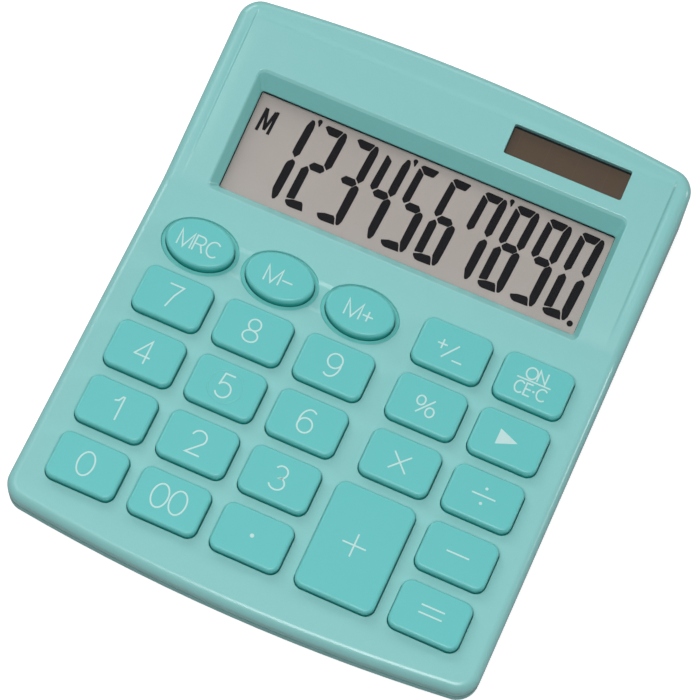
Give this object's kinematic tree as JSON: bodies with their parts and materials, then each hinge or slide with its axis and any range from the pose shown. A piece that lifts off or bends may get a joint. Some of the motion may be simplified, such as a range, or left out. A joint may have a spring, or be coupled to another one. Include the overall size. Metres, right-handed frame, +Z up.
{
  "type": "desktop calculator",
  "caption": "Desktop calculator with a sloped display face, sprung keys, large plus key, LCD window, solar window and rubber feet.",
  "frame": {"origin": "centre of the footprint, on the plane that the rubber feet stand on", "axes": "+X to the right of the user, +Y to the rear where the display is, +Z up"},
  "size_m": [0.105, 0.127, 0.021],
  "materials": {
    "key_plastic": "fine matt moulded ABS in saturated teal",
    "case_plastic": "satin moulded ABS in pale teal",
    "cover_plastic": "fine textured ABS in pale teal",
    "dome_rubber": "moulded silicone",
    "board_laminate": "solder-masked laminate",
    "chip_resin": "black potting resin",
    "capacitor_ceramic": "fired ceramic",
    "window_acrylic": "clear cast acrylic",
    "lcd_glass": "grey-beige reflective display glass",
    "clamp_plastic": "moulded white ABS",
    "ribbon_film": "polyimide film",
    "solar_glass": "dark brown amorphous cell glass",
    "foam": "black foam",
    "cell_steel": "polished nickel-plated steel",
    "contact_brass": "plated spring brass",
    "wire_red": "PVC insulation",
    "wire_black": "PVC insulation",
    "screw_steel": "zinc-plated steel",
    "foot_rubber": "matt rubber"
  },
  "bodies": {
    "case": {"front_case": "case_plastic", "rear_cover": "cover_plastic", "dome_sheet": "dome_rubber", "circuit_board": "board_laminate", "chip_blob": "chip_resin", "chip_capacitors": "capacitor_ceramic", "display_window": "window_acrylic", "lcd_glass": "lcd_glass", "lcd_clamp": "clamp_plastic", "display_ribbon": "ribbon_film", "solar_cell": "solar_glass", "solar_pad": "foam", "button_cell": "cell_steel", "contact_positive": "contact_brass", "contact_negative": "contact_brass", "solar_wire_red": "wire_red", "solar_wire_black": "wire_black", "cell_wire_red": "wire_red", "cell_wire_black": "wire_black", "case_screws": "screw_steel", "board_screws": "screw_steel", "clamp_screws": "screw_steel", "rubber_feet": "foot_rubber"},
    "key_mrc": {"key_mrc": "key_plastic"},
    "key_m_minus": {"key_m_minus": "key_plastic"},
    "key_m_plus": {"key_m_plus": "key_plastic"},
    "key_sign": {"key_sign": "key_plastic"},
    "key_on": {"key_on": "key_plastic"},
    "key_7": {"key_7": "key_plastic"},
    "key_8": {"key_8": "key_plastic"},
    "key_9": {"key_9": "key_plastic"},
    "key_percent": {"key_percent": "key_plastic"},
    "key_shift": {"key_shift": "key_plastic"},
    "key_4": {"key_4": "key_plastic"},
    "key_5": {"key_5": "key_plastic"},
    "key_6": {"key_6": "key_plastic"},
    "key_times": {"key_times": "key_plastic"},
    "key_divide": {"key_divide": "key_plastic"},
    "key_1": {"key_1": "key_plastic"},
    "key_2": {"key_2": "key_plastic"},
    "key_3": {"key_3": "key_plastic"},
    "key_plus": {"key_plus": "key_plastic"},
    "key_minus": {"key_minus": "key_plastic"},
    "key_0": {"key_0": "key_plastic"},
    "key_00": {"key_00": "key_plastic"},
    "key_point": {"key_point": "key_plastic"},
    "key_equals": {"key_equals": "key_plastic"}
  },
  "joints": [
    {"name": "key_mrc_press", "type": "slide", "parent": "case", "child": "key_mrc", "axis": [0, 0.0305, -0.9995], "range_m": [0, 0.0012], "stiffness_N_per_m": 300, "springref_m": -0.001, "deforming": ["dome_sheet"]},
    {"name": "key_m_minus_press", "type": "slide", "parent": "case", "child": "key_m_minus", "axis": [0, 0.0305, -0.9995], "range_m": [0, 0.0012], "stiffness_N_per_m": 300, "springref_m": -0.001, "deforming": ["dome_sheet"]},
    {"name": "key_m_plus_press", "type": "slide", "parent": "case", "child": "key_m_plus", "axis": [0, 0.0305, -0.9995], "range_m": [0, 0.0012], "stiffness_N_per_m": 300, "springref_m": -0.001, "deforming": ["dome_sheet"]},
    {"name": "key_sign_press", "type": "slide", "parent": "case", "child": "key_sign", "axis": [0, 0.0305, -0.9995], "range_m": [0, 0.0012], "stiffness_N_per_m": 300, "springref_m": -0.001, "deforming": ["dome_sheet"]},
    {"name": "key_on_press", "type": "slide", "parent": "case", "child": "key_on", "axis": [0, 0.0305, -0.9995], "range_m": [0, 0.0012], "stiffness_N_per_m": 300, "springref_m": -0.001, "deforming": ["dome_sheet"]},
    {"name": "key_7_press", "type": "slide", "parent": "case", "child": "key_7", "axis": [0, 0.0305, -0.9995], "range_m": [0, 0.0012], "stiffness_N_per_m": 300, "springref_m": -0.001, "deforming": ["dome_sheet"]},
    {"name": "key_8_press", "type": "slide", "parent": "case", "child": "key_8", "axis": [0, 0.0305, -0.9995], "range_m": [0, 0.0012], "stiffness_N_per_m": 300, "springref_m": -0.001, "deforming": ["dome_sheet"]},
    {"name": "key_9_press", "type": "slide", "parent": "case", "child": "key_9", "axis": [0, 0.0305, -0.9995], "range_m": [0, 0.0012], "stiffness_N_per_m": 300, "springref_m": -0.001, "deforming": ["dome_sheet"]},
    {"name": "key_percent_press", "type": "slide", "parent": "case", "child": "key_percent", "axis": [0, 0.0305, -0.9995], "range_m": [0, 0.0012], "stiffness_N_per_m": 300, "springref_m": -0.001, "deforming": ["dome_sheet"]},
    {"name": "key_shift_press", "type": "slide", "parent": "case", "child": "key_shift", "axis": [0, 0.0305, -0.9995], "range_m": [0, 0.0012], "stiffness_N_per_m": 300, "springref_m": -0.001, "deforming": ["dome_sheet"]},
    {"name": "key_4_press", "type": "slide", "parent": "case", "child": "key_4", "axis": [0, 0.0305, -0.9995], "range_m": [0, 0.0012], "stiffness_N_per_m": 300, "springref_m": -0.001, "deforming": ["dome_sheet"]},
    {"name": "key_5_press", "type": "slide", "parent": "case", "child": "key_5", "axis": [0, 0.0305, -0.9995], "range_m": [0, 0.0012], "stiffness_N_per_m": 300, "springref_m": -0.001, "deforming": ["dome_sheet"]},
    {"name": "key_6_press", "type": "slide", "parent": "case", "child": "key_6", "axis": [0, 0.0305, -0.9995], "range_m": [0, 0.0012], "stiffness_N_per_m": 300, "springref_m": -0.001, "deforming": ["dome_sheet"]},
    {"name": "key_times_press", "type": "slide", "parent": "case", "child": "key_times", "axis": [0, 0.0305, -0.9995], "range_m": [0, 0.0012], "stiffness_N_per_m": 300, "springref_m": -0.001, "deforming": ["dome_sheet"]},
    {"name": "key_divide_press", "type": "slide", "parent": "case", "child": "key_divide", "axis": [0, 0.0305, -0.9995], "range_m": [0, 0.0012], "stiffness_N_per_m": 300, "springref_m": -0.001, "deforming": ["dome_sheet"]},
    {"name": "key_1_press", "type": "slide", "parent": "case", "child": "key_1", "axis": [0, 0.0305, -0.9995], "range_m": [0, 0.0012], "stiffness_N_per_m": 300, "springref_m": -0.001, "deforming": ["dome_sheet"]},
    {"name": "key_2_press", "type": "slide", "parent": "case", "child": "key_2", "axis": [0, 0.0305, -0.9995], "range_m": [0, 0.0012], "stiffness_N_per_m": 300, "springref_m": -0.001, "deforming": ["dome_sheet"]},
    {"name": "key_3_press", "type": "slide", "parent": "case", "child": "key_3", "axis": [0, 0.0305, -0.9995], "range_m": [0, 0.0012], "stiffness_N_per_m": 300, "springref_m": -0.001, "deforming": ["dome_sheet"]},
    {"name": "key_plus_press", "type": "slide", "parent": "case", "child": "key_plus", "axis": [0, 0.0305, -0.9995], "range_m": [0, 0.0012], "stiffness_N_per_m": 400, "springref_m": -0.001, "deforming": ["dome_sheet"]},
    {"name": "key_minus_press", "type": "slide", "parent": "case", "child": "key_minus", "axis": [0, 0.0305, -0.9995], "range_m": [0, 0.0012], "stiffness_N_per_m": 300, "springref_m": -0.001, "deforming": ["dome_sheet"]},
    {"name": "key_0_press", "type": "slide", "parent": "case", "child": "key_0", "axis": [0, 0.0305, -0.9995], "range_m": [0, 0.0012], "stiffness_N_per_m": 300, "springref_m": -0.001, "deforming": ["dome_sheet"]},
    {"name": "key_00_press", "type": "slide", "parent": "case", "child": "key_00", "axis": [0, 0.0305, -0.9995], "range_m": [0, 0.0012], "stiffness_N_per_m": 300, "springref_m": -0.001, "deforming": ["dome_sheet"]},
    {"name": "key_point_press", "type": "slide", "parent": "case", "child": "key_point", "axis": [0, 0.0305, -0.9995], "range_m": [0, 0.0012], "stiffness_N_per_m": 300, "springref_m": -0.001, "deforming": ["dome_sheet"]},
    {"name": "key_equals_press", "type": "slide", "parent": "case", "child": "key_equals", "axis": [0, 0.0305, -0.9995], "range_m": [0, 0.0012], "stiffness_N_per_m": 300, "springref_m": -0.001, "deforming": ["dome_sheet"]}
  ]
}
